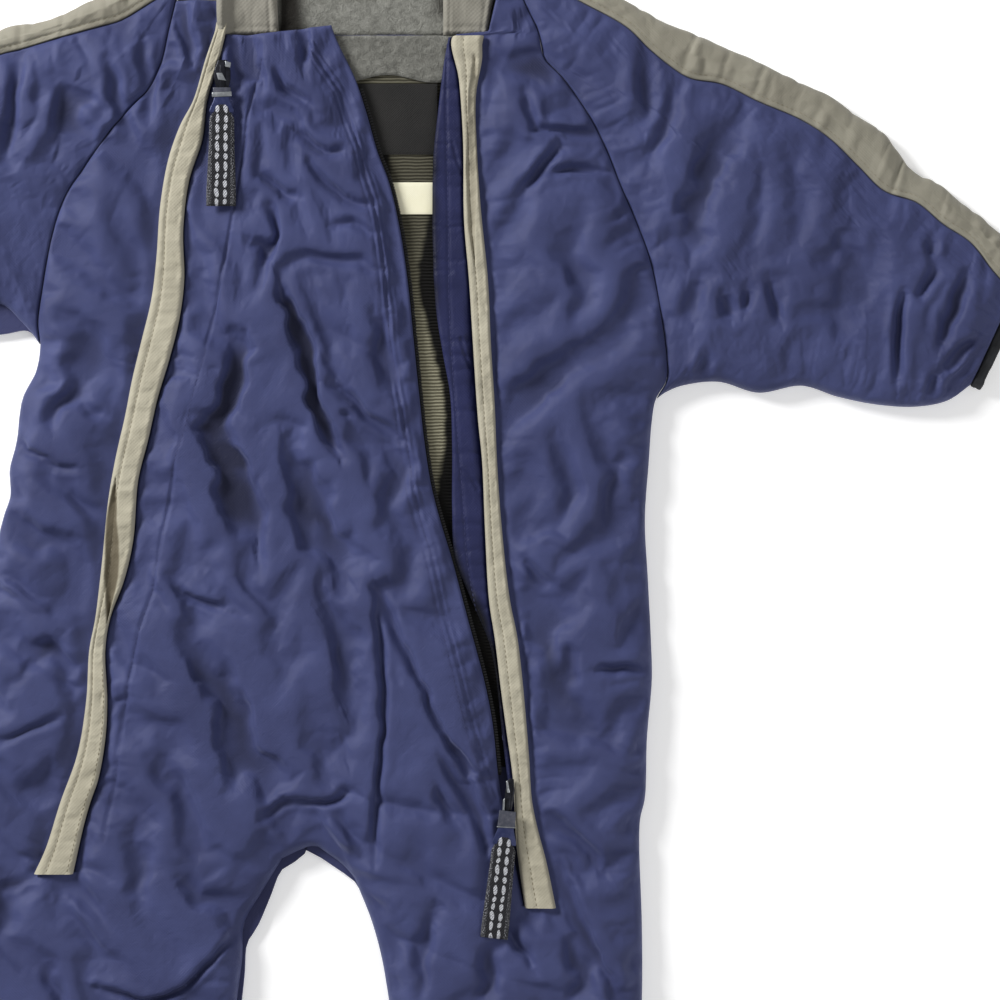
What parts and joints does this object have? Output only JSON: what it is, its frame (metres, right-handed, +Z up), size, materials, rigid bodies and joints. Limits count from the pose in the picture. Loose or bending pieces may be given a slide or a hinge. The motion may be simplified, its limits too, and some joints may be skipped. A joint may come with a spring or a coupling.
{
  "type": "baby snowsuit",
  "caption": "Padded one-piece baby snowsuit laid flat, with raglan sleeves, a stand collar, flapped front zips and contrast sleeve stripes; one zip is open.",
  "frame": {"origin": "middle of the laid-out garment's footprint, on the surface it lies on", "axes": "+Z up from the surface, +Y towards the collar, +X towards the sleeve at the viewer's right"},
  "size_m": [0.6828, 0.6543, 0.0199],
  "materials": {
    "navy_cloth": "navy woven nylon shell with a soft sheen, padded",
    "navy_back_cloth": "navy woven nylon shell, padded",
    "grey_stripe": "warm grey woven nylon",
    "grey_flap": "taupe grey woven nylon, folded and topstitched",
    "fleece": "short grey fleece",
    "knit_lining": "fine ribbed grey-brown knit",
    "black_binding": "black elastic binding",
    "black_tape": "black woven tape",
    "cream_tag": "cream printed tape, bare",
    "webbing": "black webbing with two columns of white dashes",
    "zip_metal": "navy painted zip slider and pull"
  },
  "bodies": {
    "garment": {"back_left": "navy_back_cloth", "back_lining": "knit_lining", "back_right": "navy_back_cloth", "collar_back": "fleece", "collar_left": "grey_stripe", "collar_right": "grey_stripe", "cuff_left": "black_binding", "cuff_right": "black_binding", "flap_left": "grey_flap", "flap_right": "grey_flap", "front_centre": "navy_cloth", "front_left": "navy_cloth", "front_right": "navy_cloth", "label": "black_tape", "leg_cuff_left": "black_binding", "leg_cuff_right": "black_binding", "leg_left_front": "navy_cloth", "leg_right_front": "navy_cloth", "neck_yoke": "fleece", "size_tag": "cream_tag", "sleeve_left_back": "navy_back_cloth", "sleeve_left_front": "navy_cloth", "sleeve_right_back": "navy_back_cloth", "sleeve_right_front": "navy_cloth", "sleeve_stripe_left": "grey_stripe", "sleeve_stripe_right": "grey_stripe", "zip_facing_lower": "navy_cloth", "zip_facing_right": "navy_cloth", "zip_slider_left": "zip_metal", "zip_slider_right": "zip_metal", "zip_tape_centre": "black_tape"},
    "pull_left": {"zip_pull_left": "zip_metal", "zip_webbing_left": "webbing"},
    "pull_right": {"zip_pull_right": "zip_metal", "zip_webbing_right": "webbing"}
  },
  "joints": [
    {"name": "pull_left_hinge", "type": "hinge", "parent": "garment", "child": "pull_left", "pos_m": [-0.0675, 0.2565, 0.0187], "axis": [-1, 0.0083, 0], "range_deg": [0, 150]},
    {"name": "pull_right_hinge", "type": "hinge", "parent": "garment", "child": "pull_right", "pos_m": [0.075, -0.104, 0.0185], "axis": [-0.9942, 0.1079, 0], "range_deg": [0, 150]}
  ]
}
